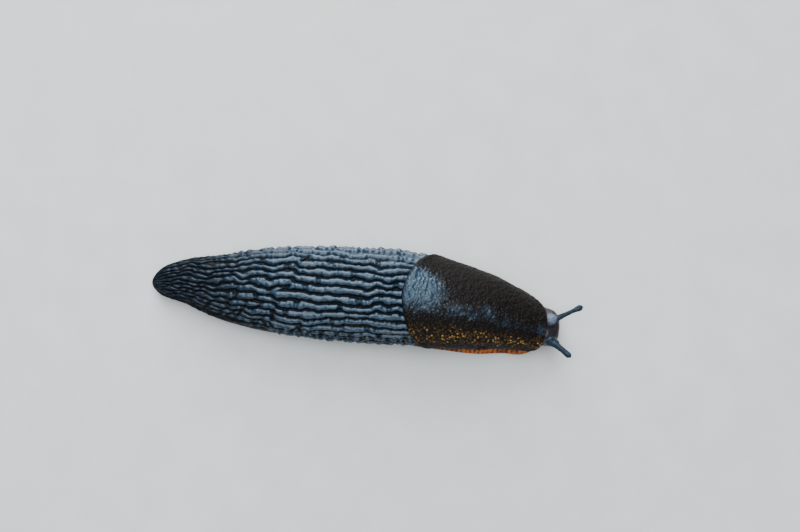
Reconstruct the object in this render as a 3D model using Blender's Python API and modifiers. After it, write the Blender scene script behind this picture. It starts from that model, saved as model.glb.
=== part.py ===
"""Large land slug at life size, half contracted and resting on its foot.

The body is a loft along a bent midline, from the tip of the tail (station 0) to the front of the head,
and is parted where its regions meet. Lengths are in metres, +Z is up and the head points along +X.
"""

import math
import random

import bmesh
import bpy
from mathutils import Matrix, Vector

MM = 0.001
GAP = 0.3 * MM  # left between neighbouring solids
MERGE = 0.001 * MM
ROUND_SIDES = 14
ROUND_BANDS = 8

# Station, half width, height and distance of the midline to the left, in millimetres, of the bare body
BODY_LENGTH = 90.0 * MM
BODY_SIZES = (
    (0, 2.4, 3.6, 3.6),
    (8, 4.9, 6.2, 3.8),
    (16, 6.9, 8.4, 2.6),
    (27, 8.8, 10.6, 1.8),
    (42, 9.8, 12.1, 0.8),
    (56, 9.8, 12.6, -0.1),
    (66, 8.25, 12.1, -1.65),
    (74, 6.85, 11.0, -3.15),
    (80, 5.4, 9.2, -4.75),
    (83, 4.65, 8.0, -5.7),
    (86, 4.25, 6.7, -6.2),
    (90, 3.9, 6.2, -7.0),
)
TAIL_ROUND = 3.4 * MM  # length over which the tail closes
TAIL_TURNS = (0, 18, 36, 56)  # degrees round its end at which its first sections lie
HEAD_ROUND = 4.2 * MM  # length over which the snout closes
HEAD_SECTIONS = 8
HEAD_BLUNTNESS = 3.4
TAIL_TIP_LEVEL = 2.7 * MM
SNOUT_LEVEL = 4.0 * MM
SLOPE_REACH = 2.0 * MM  # the midline's direction is taken over this far on either side

# Section: an arch from one side groove over the back to the other
GROOVE_LEVEL = 2.3 * MM
SIDE_LEVEL = 0.28  # widest point, as a share of the height over the groove
ARCH_HALF_ANGLE = math.radians(115)
UNDERSIDE_COLUMNS = 4
HEAD_COLUMNS = 30

# Parting stations
TAIL_END = 27.0 * MM
TRUNK_END = 55.0 * MM
SHOULDERS_END = 79.4 * MM
NECK_END = 85.6 * MM

# Tubercles stand in rows along the body
ROWS = 20
TUBERCLE_RISE = 0.78 * MM
RISE_PER_ROW_WIDTH = 0.42
CREST_EDGES = (0.28, 0.74)  # the raised part of each row, as shares of its width
SECTION_STEP = 1.15 * MM
SHOULDER_STEP = 1.7 * MM
NECK_STEP = 2.1 * MM
TUBERCLE_SECTIONS = (3, 7)
BREAK_RISE = 0.22  # what is left of the rise between two tubercles
ROW_SPREAD = 0.16  # rows lie closer together where they leave the mantle
ROW_SPREAD_LENGTH = 16.0 * MM
ROW_WANDER = 0.10

# Mantle: a saddle over the shoulders, neck and the back of the head
MANTLE_REAR = 55.4 * MM
MANTLE_FRONT = 86.9 * MM
MANTLE_REAR_SWEEP = 7.5 * MM
MANTLE_REAR_POWER = 1.5
MANTLE_FRONT_SWEEP = 1.6 * MM
MANTLE_FRONT_SKEW = 0.6 * MM  # its front edge lies further forward on the right
MANTLE_CORNER = 2.6 * MM
MANTLE_CORNER_POWER = 10
MANTLE_SLANT = 3.8 * MM  # its left front corner is cut back by this more
MANTLE_SLANT_POWER = 4
MANTLE_HALF_ANGLE = math.radians(101)
MANTLE_THICKNESS = 1.05 * MM
MANTLE_EDGE_ROUND = 0.34 * MM
MANTLE_ALONG = 21
MANTLE_AROUND = 24
MANTLE_CLEARANCE = 1.0 * MM  # rows end this far from its edge

# Breathing pore in the right edge of the mantle
PORE_STATION = 74.5 * MM
PORE_ANGLE = math.radians(-86)
PORE_RADII = (1.35 * MM, 0.8 * MM, 0.75 * MM)

# Foot: a flat sole with a fringe standing out round it. Station and half width to the left and right, in mm
FOOT_SIZES = (
    (0, 1.9, 1.9),
    (8, 4.7, 4.7),
    (18, 7.7, 7.7),
    (29, 9.4, 9.4),
    (42, 9.9, 9.9),
    (56, 10.0, 10.0),
    (66, 9.35, 9.8),
    (74, 8.25, 9.25),
    (80, 7.15, 7.6),
    (88.6, 5.6, 5.8),
)
FOOT_LENGTH = 88.6 * MM
FOOT_TAIL_ROUND = 3.0 * MM
FOOT_FRONT_ROUND = 7.0 * MM
FOOT_TOP = GROOVE_LEVEL - GAP
FOOT_STEP = 1.4 * MM
FOOT_END_SECTIONS = 6
FOOT_END_TURN = 8  # degrees round each end at which its first section lies
FRINGE_SCALLOP = 0.09 * MM
# Share of the way in from the rim, and level, of each point of the fringe's edge from the sole up
FRINGE_EDGE = (
    (0.75 * MM, 0.0),
    (0.15 * MM, 0.3 * MM),
    (0.0, 0.85 * MM),
    (0.25 * MM, 1.4 * MM),
    (1.15 * MM, 1.85 * MM),
    (2.1 * MM, FOOT_TOP),
)

# Tentacles: distance of the root to the left, length, root radius, tip radius, lift and turn to the left
UPPER_LEFT = (1.7 * MM, 5.4 * MM, 0.64 * MM, 0.66 * MM, math.radians(14), math.radians(35))
UPPER_RIGHT = (-2.75 * MM, 4.4 * MM, 0.84 * MM, 0.68 * MM, math.radians(22), math.radians(-32))
LOWER_LEFT = (1.75 * MM, 1.5 * MM, 0.46 * MM, 0.38 * MM, math.radians(-22), math.radians(30))
LOWER_RIGHT = (-1.75 * MM, 1.5 * MM, 0.46 * MM, 0.38 * MM, math.radians(-22), math.radians(-30))
UPPER_ROOT = (88.3 * MM, 5.0 * MM)  # station and level
LOWER_ROOT = (88.7 * MM, 3.1 * MM)
COLLAR_LENGTH = 1.0 * MM
COLLAR_SINK = 1.6 * MM
COLLAR_FLARE = 1.6
TENTACLE_POINTS = 9
STALK_WAIST = 0.70
STALK_BEND = 0.35 * MM
WAIST_PLACE = 0.8  # share of the length at which a stalk is thinnest
KNOB_START = 0.62
KNOB_SWELL = 0.7
TIP_ROUND = 0.8  # what is left of the radius at the very end
EYE_SHARE = 0.8  # radius of the eye's dome as a share of the knob's

# Mouth: two lobes with a slit between, under the snout
MOUTH_STATION = 88.7 * MM
MOUTH_LEVEL = 2.95 * MM
LOBE_RADII = (0.95 * MM, 0.85 * MM, 0.7 * MM)
LOBE_OFFSET = 0.62 * MM
SLIT_SIZE = (1.4 * MM, 2.0 * MM, 0.3 * MM)

SKIN_COLOUR = (0.013, 0.014, 0.017, 1)
MANTLE_COLOUR = (0.017, 0.014, 0.012, 1)
FRINGE_COLOUR = (0.18, 0.062, 0.02, 1)
EYE_COLOUR = (0.003, 0.003, 0.004, 1)
TENTACLE_COLOUR = (0.022, 0.027, 0.036, 1)

SEED = 11
SEED_STEP = 0.01 * MM


def smooth_curve(rows, column):
    """A function of the station that passes smoothly through one column of a table in millimetres."""
    xs = [row[0] * MM for row in rows]
    ys = [row[column] * MM for row in rows]
    last = len(xs) - 1
    slopes = []
    for i in range(len(xs)):
        before, after = max(i - 1, 0), min(i + 1, last)
        slopes.append((ys[after] - ys[before]) / (xs[after] - xs[before]))

    def value(x):
        i = 0
        while i < last - 1 and x > xs[i + 1]:
            i += 1
        span = xs[i + 1] - xs[i]
        q = min(max((x - xs[i]) / span, 0.0), 1.0)
        rise = q * q * (3 - 2 * q)
        return (
            ys[i] * (1 - rise)
            + ys[i + 1] * rise
            + span * q * (1 - q) * ((1 - q) * slopes[i] - q * slopes[i + 1])
        )

    return value


half_width_at = smooth_curve(BODY_SIZES, 1)
height_at = smooth_curve(BODY_SIZES, 2)
midline_at = smooth_curve(BODY_SIZES, 3)
foot_left_at = smooth_curve(FOOT_SIZES, 1)
foot_right_at = smooth_curve(FOOT_SIZES, 2)


def midline(station):
    """The point of the midline on the floor, and the directions forward and to the left there."""
    before, after = midline_at(station - SLOPE_REACH), midline_at(station + SLOPE_REACH)
    forward = Vector((2 * SLOPE_REACH, after - before, 0)).normalized()
    left = Vector((-forward.y, forward.x, 0))
    return Vector((station, midline_at(station), 0)), forward, left


def from_midline(station, across, level):
    point, forward, left = midline(station)
    return point + across * left + Vector((0, 0, level))


def closing(station):
    """How far a section has shrunk towards an end, and the level that it shrinks to."""
    if station < TAIL_ROUND:
        q = 1 - station / TAIL_ROUND
        return math.sqrt(max(1 - q * q, 0)), TAIL_TIP_LEVEL
    q = max(0.0, (station - (BODY_LENGTH - HEAD_ROUND)) / HEAD_ROUND)
    return max(1 - q**HEAD_BLUNTNESS, 0) ** (1 / HEAD_BLUNTNESS), SNOUT_LEVEL


def body_point(station, angle, rise):
    """A point on the arch of a section. The angle is 0 on the back and positive to the left."""
    width, height = half_width_at(station), height_at(station)
    side = GROOVE_LEVEL + SIDE_LEVEL * (height - GROOVE_LEVEL)
    across = width * math.sin(angle)
    drop = height - side
    if abs(angle) > math.pi / 2:
        drop = (side - GROOVE_LEVEL) / -math.cos(ARCH_HALF_ANGLE)
    level = side + drop * math.cos(angle)
    out = Vector((math.sin(angle) / width, math.cos(angle) / drop)).normalized()
    share, end_level = closing(station)
    across = (across + rise * out.x) * share
    level = end_level + (level + rise * out.y - end_level) * share
    return from_midline(station, across, level)


def mantle_limits(share):
    """The stations between which the mantle lies. The share is the angle over the mantle's half angle."""
    corner = MANTLE_CORNER * abs(share) ** MANTLE_CORNER_POWER
    rear = MANTLE_REAR + MANTLE_REAR_SWEEP * abs(share) ** MANTLE_REAR_POWER + corner
    slant = MANTLE_SLANT * max(share, 0) ** MANTLE_SLANT_POWER
    front = MANTLE_FRONT - MANTLE_FRONT_SWEEP * share**2 - MANTLE_FRONT_SKEW * share - corner - slant
    return rear, front


def clear_of_mantle(station, angle):
    """1 outside the mantle, 0 under it, with a short ramp between."""
    share = angle / MANTLE_HALF_ANGLE
    if abs(share) > 1:
        below = (abs(share) - 1) * MANTLE_HALF_ANGLE * half_width_at(station)
        return min(below / MANTLE_CLEARANCE, 1)
    rear, front = mantle_limits(share)
    if station > front:
        return 0
    return min(max((rear - station) / MANTLE_CLEARANCE, 0), 1)


def row_angle(station, place):
    """The angle of a place across the rows, from 0 at the right groove to ROWS at the left one."""
    share = 2 * place / ROWS - 1
    away = (station - MANTLE_REAR) / ROW_SPREAD_LENGTH
    squeeze = 1 - ROW_SPREAD * math.exp(-away * away) * (1 - share * share)
    return share * squeeze * ARCH_HALF_ANGLE


def tubercle_shares(sections):
    """For each row, the share of the full rise at each section: tubercles with a break after each."""
    draw = random.Random(SEED)
    rows = []
    for _ in range(ROWS):
        shares = []
        while len(shares) < sections:
            length = draw.randint(*TUBERCLE_SECTIONS)
            shares += [draw.uniform(0.8, 1.0) for _ in range(length)] + [BREAK_RISE]
        start = draw.randrange(TUBERCLE_SECTIONS[1])
        rows.append((shares[start:] + shares)[:sections])
    return rows


def loft(name, rings):
    """A closed body through rings of equal length, with a flat cap or a pole at each end."""
    mesh = bmesh.new()
    loops = [[mesh.verts.new(point) for point in ring] for ring in rings]
    for one, other in zip(loops, loops[1:]):
        for i in range(len(one)):
            j = (i + 1) % len(one)
            mesh.faces.new((one[i], one[j], other[j], other[i]))
    mesh.faces.new(list(reversed(loops[0])))
    mesh.faces.new(loops[-1])
    bmesh.ops.remove_doubles(mesh, verts=mesh.verts, dist=MERGE)
    bmesh.ops.dissolve_degenerate(mesh, edges=mesh.edges, dist=MERGE)
    bmesh.ops.recalc_face_normals(mesh, faces=mesh.faces)
    return object_from(name, mesh)


def object_from(name, mesh):
    data = bpy.data.meshes.new(name)
    mesh.to_mesh(data)
    mesh.free()
    made = bpy.data.objects.new(name, data)
    bpy.context.scene.collection.objects.link(made)
    return made


def stations_between(start, end, step):
    count = max(2, round((end - start) / step))
    return [start + (end - start) * i / count for i in range(count + 1)]


def body_ring(station, shares):
    """One section: the rows over the back, then the flat underside back to the first groove."""
    ring = []
    draw = random.Random(SEED + round(station / SEED_STEP))
    for row in range(ROWS):
        wander = draw.uniform(-ROW_WANDER, ROW_WANDER)
        for edge, level in ((0.0, 0.0), (CREST_EDGES[0] + wander, 1.0), (CREST_EDGES[1] + wander, 1.0)):
            angle = row_angle(station, row + edge)
            width = 2 * ARCH_HALF_ANGLE * half_width_at(station) / ROWS
            rise = min(TUBERCLE_RISE, RISE_PER_ROW_WIDTH * width) * level * shares[row]
            ring.append(body_point(station, angle, rise * clear_of_mantle(station, angle)))
    ring.append(body_point(station, ARCH_HALF_ANGLE, 0))
    left, right = ring[-1], ring[0]
    for i in range(1, UNDERSIDE_COLUMNS):
        ring.append(left.lerp(right, i / UNDERSIDE_COLUMNS))
    return ring


def make_body():
    """Tail, trunk, shoulders and neck, parted by thin flat cuts across the midline."""
    limits = (
        ("tail", 0.0, TAIL_END, SECTION_STEP),
        ("trunk", TAIL_END + GAP, TRUNK_END, SECTION_STEP),
        ("shoulders", TRUNK_END + GAP, SHOULDERS_END, SHOULDER_STEP),
        ("neck", SHOULDERS_END + GAP, NECK_END, NECK_STEP),
    )
    shares = tubercle_shares(round(BODY_LENGTH / SECTION_STEP) + 2)
    parts = []
    for name, start, end, step in limits:
        stations = stations_between(start, end, step)
        if start == 0:
            stations = tail_stations(stations)
        rings = []
        for station in stations:
            section = round(station / SECTION_STEP)
            rings.append(body_ring(station, [row[section] for row in shares]))
        parts.append(loft(name, rings))
    return parts


def tail_stations(stations):
    """Sections crowd towards the tip, so that the tail closes in a round end."""
    tip = [TAIL_ROUND * (1 - math.cos(math.radians(turn))) for turn in TAIL_TURNS]
    return tip + [station for station in stations if station > tip[-1] + SECTION_STEP / 2]


def head_ring(station):
    turns = [ARCH_HALF_ANGLE * (2 * i / HEAD_COLUMNS - 1) for i in range(HEAD_COLUMNS + 1)]
    ring = [body_point(station, turn, 0) for turn in turns]
    left, right = ring[-1], ring[0]
    for i in range(1, UNDERSIDE_COLUMNS):
        ring.append(left.lerp(right, i / UNDERSIDE_COLUMNS))
    return ring


def ellipsoid(name, centre, radii, turn):
    mesh = bmesh.new()
    bmesh.ops.create_uvsphere(mesh, u_segments=ROUND_SIDES, v_segments=ROUND_BANDS, radius=1)
    bmesh.ops.transform(
        mesh,
        matrix=Matrix.Translation(centre) @ turn @ Matrix.Diagonal((*radii, 1)),
        verts=mesh.verts,
    )
    return object_from(name, mesh)


def aim(direction):
    """The rotation that turns +Z to a direction."""
    return direction.to_track_quat("Z", "Y").to_matrix().to_4x4()


def tentacle_way(station, lift, turn):
    forward, left = midline(station)[1:]
    flat = math.cos(turn) * forward + math.sin(turn) * left
    return (math.cos(lift) * flat + Vector((0, 0, math.sin(lift)))).normalized()


def tentacle_roots():
    """Name, root point, direction, length, root radius and tip radius of each tentacle."""
    found = []
    for name, base, sizes in (
        ("upper_tentacle_left", UPPER_ROOT, UPPER_LEFT),
        ("upper_tentacle_right", UPPER_ROOT, UPPER_RIGHT),
        ("lower_tentacle_left", LOWER_ROOT, LOWER_LEFT),
        ("lower_tentacle_right", LOWER_ROOT, LOWER_RIGHT),
    ):
        across, length, root, tip, lift, turn = sizes
        point = from_midline(base[0], across, base[1])
        found.append((name, point, tentacle_way(base[0], lift, turn), length, root, tip))
    return found


def collar(name, point, way, radius):
    """The ring of skin that a tentacle comes out of: a cone sunk in the head, with a flat top."""
    mesh = bmesh.new()
    bmesh.ops.create_cone(
        mesh,
        cap_ends=True,
        segments=ROUND_SIDES,
        radius1=radius * COLLAR_FLARE,
        radius2=radius,
        depth=COLLAR_LENGTH + COLLAR_SINK,
    )
    middle = point + way * (COLLAR_LENGTH - COLLAR_SINK) / 2
    bmesh.ops.transform(mesh, matrix=Matrix.Translation(middle) @ aim(way), verts=mesh.verts)
    return object_from(name, mesh)


def applied(made):
    """Replaces an object's mesh by what its modifiers make of it."""
    graph = bpy.context.evaluated_depsgraph_get()
    data = bpy.data.meshes.new_from_object(made.evaluated_get(graph))
    made.modifiers.clear()
    made.data = data
    return made


def largest_surface(made):
    """Keeps only the largest closed surface of a mesh."""
    mesh = bmesh.new()
    mesh.from_mesh(made.data)
    left = set(mesh.verts)
    shells = []
    while left:
        shell, edge = set(), [left.pop()]
        while edge:
            vert = edge.pop()
            shell.add(vert)
            for link in vert.link_edges:
                other = link.other_vert(vert)
                if other in left:
                    left.remove(other)
                    edge.append(other)
        shells.append(shell)
    keep = max(shells, key=len)
    bmesh.ops.delete(mesh, geom=[v for v in mesh.verts if v not in keep], context="VERTS")
    mesh.to_mesh(made.data)
    mesh.free()
    return made


def joined(made, pieces, operation):
    """Joins pieces to an object, or cuts them from it, in one Boolean, and removes them."""
    others = bpy.data.collections.new(made.name + "_pieces")
    for piece in pieces:
        others.objects.link(piece)
        bpy.context.scene.collection.objects.unlink(piece)
    bpy.context.scene.collection.children.link(others)
    join = made.modifiers.new(operation.lower(), "BOOLEAN")
    join.operation = operation
    join.operand_type = "COLLECTION"
    join.collection = others
    join.solver = "EXACT"
    applied(made)
    for piece in pieces:
        bpy.data.objects.remove(piece)
    bpy.data.collections.remove(others)
    return largest_surface(made)


def make_head():
    """The head with its tentacle collars and mouth lobes, and the slit of the mouth."""
    turns = [math.pi / 2 * i / HEAD_SECTIONS for i in range(1, HEAD_SECTIONS + 1)]
    stations = [BODY_LENGTH - HEAD_ROUND * (1 - math.sin(turn)) for turn in turns]
    stations.insert(0, NECK_END + GAP)
    head = loft("head", [head_ring(station) for station in stations])
    pieces = []
    for name, point, way, _, root, _ in tentacle_roots():
        pieces.append(collar(name + "_collar", point, way, root))
    upright = aim(Vector((0, 0, 1)))
    for side in (1, -1):
        centre = from_midline(MOUTH_STATION, side * LOBE_OFFSET, MOUTH_LEVEL)
        pieces.append(ellipsoid("lobe", centre, LOBE_RADII, upright))
    joined(head, pieces, "UNION")
    slit = bmesh.new()
    bmesh.ops.create_cube(slit, size=1)
    forward = midline(MOUTH_STATION)[1]
    front = from_midline(MOUTH_STATION, 0, MOUTH_LEVEL) + forward * LOBE_RADII[0]
    turn = Matrix.Rotation(math.atan2(forward.y, forward.x), 4, "Z")
    bmesh.ops.transform(
        slit,
        matrix=Matrix.Translation(front) @ turn @ Matrix.Diagonal((*SLIT_SIZE, 1)),
        verts=slit.verts,
    )
    return joined(head, [object_from("slit", slit)], "DIFFERENCE")


def stalk(name, point, way, length, root, tip, knob):
    """A tentacle from its collar to its tip: a bevelled curve that narrows and, with a knob, swells again."""
    curve = bpy.data.curves.new(name, "CURVE")
    curve.dimensions = "3D"
    curve.bevel_depth = root
    curve.bevel_resolution = 4
    curve.use_fill_caps = True
    spline = curve.splines.new("POLY")
    spline.points.add(TENTACLE_POINTS - 1)
    start = point + way * (COLLAR_LENGTH + GAP)
    for i, place in enumerate(spline.points):
        q = i / (TENTACLE_POINTS - 1)
        bend = Vector((0, 0, STALK_BEND * math.sin(math.pi * q) * knob))
        place.co = (*(start + way * length * q + bend), 1)
        place.radius = 1 - (1 - STALK_WAIST) * math.sin(math.pi / 2 * min(q / WAIST_PLACE, 1))
        if knob:
            swell = max(0, (q - KNOB_START) / (1 - KNOB_START)) ** KNOB_SWELL
            place.radius += (tip / root - STALK_WAIST) * swell
    spline.points[-1].radius *= TIP_ROUND
    made = bpy.data.objects.new(name, curve)
    bpy.context.scene.collection.objects.link(made)
    return made


def eye(name, point, way, radius):
    """The round end of an upper tentacle, which holds the eye: a dome with a flat back."""
    mesh = bmesh.new()
    bmesh.ops.create_uvsphere(
        mesh, u_segments=ROUND_SIDES, v_segments=ROUND_BANDS, radius=radius
    )
    everything = mesh.verts[:] + mesh.edges[:] + mesh.faces[:]
    bmesh.ops.bisect_plane(
        mesh, geom=everything, plane_co=(0, 0, 0), plane_no=(0, 0, 1), clear_inner=True
    )
    bmesh.ops.holes_fill(mesh, edges=mesh.edges)
    bmesh.ops.recalc_face_normals(mesh, faces=mesh.faces)
    bmesh.ops.transform(mesh, matrix=Matrix.Translation(point) @ aim(way), verts=mesh.verts)
    return object_from(name, mesh)


def make_tentacles():
    parts = []
    for name, point, way, length, root, tip in tentacle_roots():
        upper = name.startswith("upper")
        parts.append(stalk(name, point, way, length, root, tip, upper))
        if upper:
            end = point + way * (COLLAR_LENGTH + length + 2 * GAP)
            parts.append(eye(name.replace("upper_tentacle", "eye"), end, way, EYE_SHARE * tip))
    return parts


def make_mantle():
    """A sheet that follows the body, thickened outwards, with a round edge and the breathing pore."""
    mesh = bmesh.new()
    bmesh.ops.create_grid(mesh, x_segments=MANTLE_ALONG, y_segments=MANTLE_AROUND, size=1)
    for vert in mesh.verts:
        share = vert.co.y
        rear, front = mantle_limits(share)
        station = rear + (front - rear) * (vert.co.x + 1) / 2
        vert.co = body_point(station, share * MANTLE_HALF_ANGLE, GAP)
    bmesh.ops.recalc_face_normals(mesh, faces=mesh.faces)
    mantle = object_from("mantle", mesh)
    thicken = mantle.modifiers.new("thickness", "SOLIDIFY")
    thicken.thickness = MANTLE_THICKNESS
    thicken.offset = 1
    edge = mantle.modifiers.new("edge", "BEVEL")
    edge.width = MANTLE_EDGE_ROUND
    edge.segments = 2
    edge.limit_method = "ANGLE"
    edge.angle_limit = math.radians(50)
    applied(mantle)
    centre = body_point(PORE_STATION, PORE_ANGLE, GAP + MANTLE_THICKNESS)
    forward = midline(PORE_STATION)[1]
    turn = Matrix.Rotation(math.atan2(forward.y, forward.x), 4, "Z")
    return joined(mantle, [ellipsoid("pore", centre, PORE_RADII, turn)], "DIFFERENCE")


def foot_ring(station, wave):
    """One section of the foot: the flat sole, the fringe's edge and the top, from right to left and back."""
    left_width = foot_left_at(station) + wave * FRINGE_SCALLOP
    right_width = foot_right_at(station) + wave * FRINGE_SCALLOP
    rear = min(station / FOOT_TAIL_ROUND, 1)
    front = max(0.0, (station - FOOT_LENGTH + FOOT_FRONT_ROUND) / FOOT_FRONT_ROUND)
    share = math.sqrt(1 - (1 - rear) ** 2) * math.sqrt(max(1 - front * front, 0))
    left = [from_midline(station, (left_width - inset) * share, level) for inset, level in FRINGE_EDGE]
    right = [from_midline(station, (inset - right_width) * share, level) for inset, level in FRINGE_EDGE]
    return right[::-1] + left


def make_foot():
    span = 90 - FOOT_END_TURN
    turns = [FOOT_END_TURN + span * i / FOOT_END_SECTIONS for i in range(FOOT_END_SECTIONS)]
    shares = [1 - math.cos(math.radians(turn)) for turn in turns]
    rear = [FOOT_TAIL_ROUND * share for share in shares]
    front = [FOOT_LENGTH - FOOT_FRONT_ROUND * share for share in reversed(shares)]
    middle = stations_between(FOOT_TAIL_ROUND, FOOT_LENGTH - FOOT_FRONT_ROUND, FOOT_STEP)
    stations = rear + middle + front
    rings = [foot_ring(station, 1 if i % 2 else -1) for i, station in enumerate(stations)]
    return loft("foot", rings)


def paint(parts):
    """Gives each part its own material: base colour, roughness."""
    finishes = {
        "mantle": (MANTLE_COLOUR, 0.38),
        "foot": (FRINGE_COLOUR, 0.45),
        "eye": (EYE_COLOUR, 0.1),
        "upper": (TENTACLE_COLOUR, 0.3),
        "lower": (TENTACLE_COLOUR, 0.3),
    }
    for part in parts:
        colour, roughness = finishes.get(part.name.split("_")[0], (SKIN_COLOUR, 0.32))
        material = bpy.data.materials.new(part.name)
        material.use_nodes = True
        shader = material.node_tree.nodes["Principled BSDF"]
        shader.inputs["Base Color"].default_value = colour
        shader.inputs["Roughness"].default_value = roughness
        shader.inputs["Metallic"].default_value = 0
        part.data.materials.append(material)


def stand_at_origin(parts):
    """Parents the parts to an empty that puts the bottom centre of their box at the origin."""
    graph = bpy.context.evaluated_depsgraph_get()
    points = []
    for part in parts:
        made = part.evaluated_get(graph)
        points += [vert.co.copy() for vert in made.to_mesh().vertices]
        made.to_mesh_clear()
    low = Vector([min(point[axis] for point in points) for axis in range(3)])
    high = Vector([max(point[axis] for point in points) for axis in range(3)])
    slug = bpy.data.objects.new("slug", None)
    slug.location = (-(low.x + high.x) / 2, -(low.y + high.y) / 2, -low.z)
    bpy.context.scene.collection.objects.link(slug)
    for part in parts:
        part.parent = slug


def main():
    for made in list(bpy.data.objects):
        bpy.data.objects.remove(made)
    parts = [*make_body(), make_head(), *make_tentacles(), make_mantle(), make_foot()]
    home = bpy.data.collections.new("slug")
    bpy.context.scene.collection.children.link(home)
    for part in parts:
        home.objects.link(part)
        bpy.context.scene.collection.objects.unlink(part)
    paint(parts)
    stand_at_origin(parts)


main()
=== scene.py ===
"""Looks of a large black land slug, half contracted on its foot.

It has a wet ridged skin and two eyes, and lies on a pale floor in soft light.
"""

import math
from contextlib import contextmanager
from typing import NamedTuple

import bmesh
import bpy
import numpy as np
from mathutils import Matrix, Vector
from mathutils.kdtree import KDTree


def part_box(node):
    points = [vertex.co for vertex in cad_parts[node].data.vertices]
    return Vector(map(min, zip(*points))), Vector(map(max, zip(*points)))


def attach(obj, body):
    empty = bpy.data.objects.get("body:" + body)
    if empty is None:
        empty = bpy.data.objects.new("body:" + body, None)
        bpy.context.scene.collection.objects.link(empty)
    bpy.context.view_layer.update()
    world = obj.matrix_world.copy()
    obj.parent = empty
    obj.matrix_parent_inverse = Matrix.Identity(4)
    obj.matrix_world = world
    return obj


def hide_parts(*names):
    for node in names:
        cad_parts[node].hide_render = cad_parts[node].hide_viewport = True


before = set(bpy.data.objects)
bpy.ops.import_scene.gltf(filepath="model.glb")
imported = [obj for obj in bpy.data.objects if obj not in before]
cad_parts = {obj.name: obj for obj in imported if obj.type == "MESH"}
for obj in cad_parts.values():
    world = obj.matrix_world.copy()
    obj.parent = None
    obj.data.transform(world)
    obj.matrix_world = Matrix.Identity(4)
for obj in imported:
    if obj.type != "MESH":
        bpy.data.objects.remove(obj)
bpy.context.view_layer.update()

bl_info = {
    "name": "Black Slug",
    "version": (1, 0, 0),
    "blender": (4, 5, 0),
    "location": "3D View > Sidebar > Slug",
    "description": "Models the skin and eyes of a large land slug and sets the stage",
    "category": "Add Mesh",
}

MM = 0.001
FLESH = (
    "tail",
    "trunk",
    "shoulders",
    "neck",
    "head",
    "mantle",
    "foot",
    "upper_tentacle_left",
    "upper_tentacle_right",
    "lower_tentacle_left",
    "lower_tentacle_right",
)

# Sizes are in millimetres where nothing else is said. A station is a distance along the midline, from the
# tip of the tail. A side or turn to the right is negative.


class Waves(NamedTuple):
    """Seeded smooth waves: their height, their length in two directions and their seed."""

    height: float
    length: float
    width: float
    seed: int

    def over(self, x, y):
        return self.height * ripple(x / self.length, y / self.width, self.seed)


class Hump(NamedTuple):
    """A bell-shaped rise: its height, its middle and its spread."""

    height: float
    middle: float
    spread: float

    def over(self, x):
        return self.height * bell(x - self.middle, self.spread)


# Body without its tubercles: station, half width, height and distance of the midline to the left
BODY_LENGTH = 90.0
BODY_SIZES = (
    (0, 2.4, 3.6, 3.6),
    (8, 4.9, 6.2, 3.8),
    (16, 6.9, 8.4, 2.6),
    (27, 8.8, 10.6, 1.8),
    (42, 9.8, 12.1, 0.8),
    (56, 9.8, 12.6, -0.1),
    (66, 8.25, 12.1, -1.65),
    (74, 6.85, 11.0, -3.15),
    (80, 5.4, 9.2, -4.75),
    (83, 4.65, 8.0, -5.7),
    (86, 4.25, 6.7, -6.2),
    (90, 3.9, 6.2, -7.0),
)
SLOPE_REACH = 2.0
TAIL_ROUND = 3.4
TAIL_TIP_LEVEL = 2.7
HEAD_ROUND = 4.2
HEAD_BLUNTNESS = 3.4
SNOUT_LEVEL = 4.0
GROOVE_LEVEL = 2.3
SIDE_LEVEL = 0.28
ARCH_HALF_ANGLE = math.radians(115)

# Sections of the skin: their number in each round end, and their distance from each station on
TAIL_SECTIONS = 15
HEAD_SECTIONS = 30
RIDGED_STEP = 0.262
HIDDEN_START = 63.0
HIDDEN_STEP = 0.45
NECK_START = 83.5
NECK_STEP = 0.18

# Foot: station and half width to the left and right. The fringe's outline has the share of the way down, the
# inset from that half width, and the level
FOOT_LENGTH = 88.6
FOOT_SIZES = (
    (0, 1.9, 1.9),
    (8, 4.7, 4.7),
    (18, 7.7, 7.7),
    (29, 9.4, 9.4),
    (42, 9.9, 9.9),
    (56, 10.0, 10.0),
    (66, 9.35, 9.8),
    (74, 8.25, 9.25),
    (80, 7.15, 7.6),
    (88.6, 5.6, 5.8),
)
FOOT_TAIL_ROUND = 3.0
FOOT_FRONT_ROUND = 7.0
FOOT_LAG_START = 80.0
FRINGE_OUTLINE = (
    (0.0, 1.75, 1.95),
    (0.2, 1.1, 1.88),
    (0.45, 0.3, 1.45),
    (0.65, 0.0, 0.88),
    (0.85, 0.15, 0.3),
    (1.0, 0.75, 0.0),
)
FRINGE_TUCK = 0.35
FRINGE_PITCH = 1.05
FRINGE_WRINKLE = 0.07
FRINGE_WRINKLED = Hump(1, 0.6, 0.3)
FRINGE_CALM = 0.35
FRINGE_PHASE = Waves(2, 4, 1, 8)
FRINGE_STRENGTH = Waves(1, 2.3, 1 / 3, 9)
FRINGE_COLUMNS = 13
SOLE_COLUMNS = 8

# Tubercles. A place across the body is counted in rows, from the right groove to the left one
ROWS = 20
ROW_COLUMNS = 9
RISE_PER_ROW_WIDTH = 0.42
ROW_SPREAD = 0.16
ROW_SPREAD_LENGTH = 16.0
CREST_HALF_WIDTH = 0.46
CREST_POWERS = (2.2, 0.85)
GROOVE_DEPTH = 0.12
GROOVE_EDGE = 0.5
BEAD_PITCH = 1.3
BEAD_PHASE_PER_ROW = 2.4
BEAD_PHASE = Waves(2.5, 4, 1 / 3.7, 4)
SWELL = Waves(0.13, 1.5, 1 / 7.3, 5)
TOP = Waves(0.18, 0.7, 1 / 2.5, 6)
HEAD_FADE = (78.0, 84.0)
HEAD_FADE_AMOUNT = 0.9

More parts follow.
